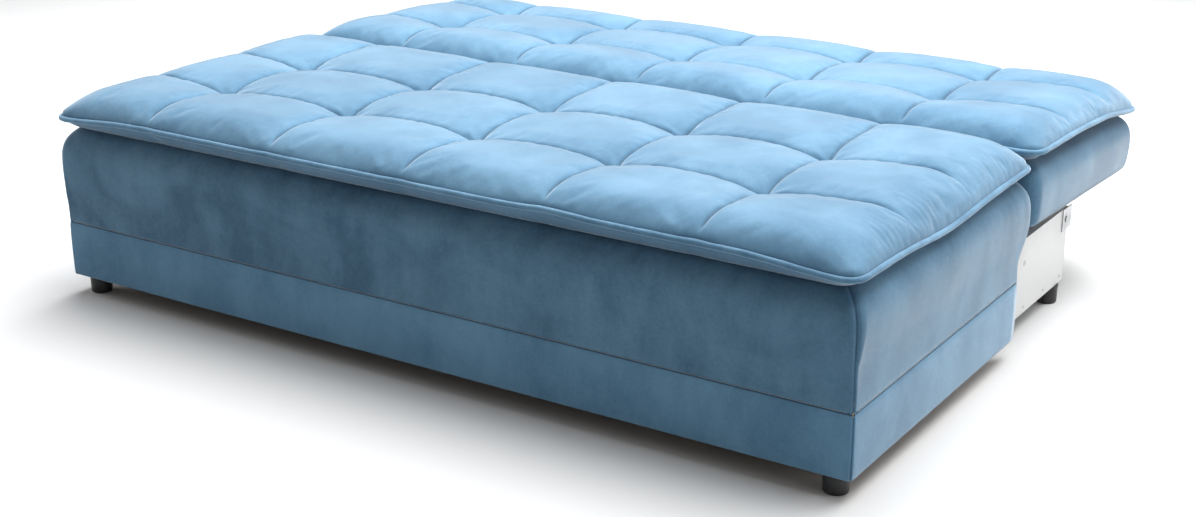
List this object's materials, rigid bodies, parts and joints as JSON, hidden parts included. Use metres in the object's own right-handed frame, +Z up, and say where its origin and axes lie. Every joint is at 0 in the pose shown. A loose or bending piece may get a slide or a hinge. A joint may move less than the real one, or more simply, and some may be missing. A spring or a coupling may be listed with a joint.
{
  "type": "futon sofa bed",
  "caption": "Velvet futon sofa bed shown flat: pull-out seat with a tufted pillow pad, hinged tufted backrest behind it, low bedding box on round feet.",
  "frame": {"origin": "on the floor, below the middle of the lying surface's length and width, in the flat bed position", "axes": "+X to the right along the width seen from the front, +Y from the front towards the backrest's rear end, +Z up"},
  "size_m": [1.9, 1.4999, 0.468],
  "materials": {
    "velvet": "matte",
    "lining": "matte",
    "foam": "matte",
    "spring_unit": "matte",
    "foot_plastic": "satin",
    "roller_rubber": "matte",
    "nylon": "satin",
    "steel": "satin",
    "white_board": "satin",
    "timber": "matte"
  },
  "bodies": {
    "bedding_box": {"box_side_left": "white_board", "box_side_right": "white_board", "box_rear_panel": "white_board", "box_back_board": "white_board", "box_front_rail": "white_board", "box_bottom_board": "white_board", "box_centre_batten": "timber", "box_foot_rear_left": "foot_plastic", "box_foot_rear_right": "foot_plastic", "box_foot_front_left": "foot_plastic", "box_foot_front_right": "foot_plastic", "support_bracket_left": "steel", "support_bracket_right": "steel", "support_axle_left": "steel", "support_axle_right": "steel", "wheel_axles_left": "steel", "wheel_axles_right": "steel", "panel_screws": "steel", "panel_staples": "steel"},
    "seat_carriage": {"seat_front_board": "timber", "seat_side_board_left": "timber", "seat_side_board_right": "timber", "seat_corner_blocks": "timber", "seat_foot_left": "foot_plastic", "seat_foot_right": "foot_plastic", "seat_deck_board": "timber", "seat_spring_unit": "spring_unit", "seat_foam": "foam", "seat_body_cover": "velvet", "seat_plinth_cover": "velvet", "seat_pad": "velvet", "seat_piping": "velvet", "runner_channel_left": "steel", "runner_channel_right": "steel", "hinge_bracket_left": "steel", "hinge_bracket_right": "steel"},
    "backrest": {"back_board": "timber", "back_rail_front": "timber", "back_rail_rear": "timber", "back_side_rail_left": "timber", "back_side_rail_right": "timber", "back_foam": "foam", "back_body_cover": "velvet", "back_dust_cover": "lining", "back_pad": "velvet", "back_piping": "velvet", "hinge_plate_left": "steel", "hinge_plate_right": "steel", "hinge_bolt_left": "steel", "hinge_bolt_right": "steel", "skid_rail_left": "timber", "skid_rail_right": "timber"},
    "support_roller_left": {"support_roller_left": "roller_rubber"},
    "support_roller_right": {"support_roller_right": "roller_rubber"},
    "runner_wheel_front_left": {"wheel_front_left": "nylon"},
    "runner_wheel_front_right": {"wheel_front_right": "nylon"},
    "runner_wheel_rear_left": {"wheel_rear_left": "nylon"},
    "runner_wheel_rear_right": {"wheel_rear_right": "nylon"}
  },
  "joints": [
    {"name": "seat_slide", "type": "slide", "parent": "bedding_box", "child": "seat_carriage", "axis": [0, 1, 0], "range_m": [0, 0.3]},
    {"name": "backrest_hinge", "type": "hinge", "parent": "seat_carriage", "child": "backrest", "pos_m": [0, 0.166, 0.375], "axis": [1, 0, 0], "range_deg": [0, 82]},
    {"name": "runner_wheel_front_left_spin", "type": "hinge", "parent": "bedding_box", "child": "runner_wheel_front_left", "pos_m": [-0.917, -0.25, 0.11], "axis": [1, 0, 0], "continuous": true},
    {"name": "runner_wheel_front_right_spin", "type": "hinge", "parent": "bedding_box", "child": "runner_wheel_front_right", "pos_m": [0.917, -0.25, 0.11], "axis": [1, 0, 0], "continuous": true},
    {"name": "runner_wheel_rear_left_spin", "type": "hinge", "parent": "bedding_box", "child": "runner_wheel_rear_left", "pos_m": [-0.917, -0.06, 0.11], "axis": [1, 0, 0], "continuous": true},
    {"name": "runner_wheel_rear_right_spin", "type": "hinge", "parent": "bedding_box", "child": "runner_wheel_rear_right", "pos_m": [0.917, -0.06, 0.11], "axis": [1, 0, 0], "continuous": true},
    {"name": "support_roller_left_spin", "type": "hinge", "parent": "bedding_box", "child": "support_roller_left", "pos_m": [-0.875, 0.405, 0.187], "axis": [1, 0, 0], "continuous": true},
    {"name": "support_roller_right_spin", "type": "hinge", "parent": "bedding_box", "child": "support_roller_right", "pos_m": [0.875, 0.405, 0.187], "axis": [1, 0, 0], "continuous": true}
  ],
  "couplings": [
    {"joint": "runner_wheel_front_left_spin", "follows": "seat_slide", "rad_per_m": -80},
    {"joint": "runner_wheel_front_right_spin", "follows": "seat_slide", "rad_per_m": -80},
    {"joint": "runner_wheel_rear_left_spin", "follows": "seat_slide", "rad_per_m": -80},
    {"joint": "runner_wheel_rear_right_spin", "follows": "seat_slide", "rad_per_m": -80}
  ]
}
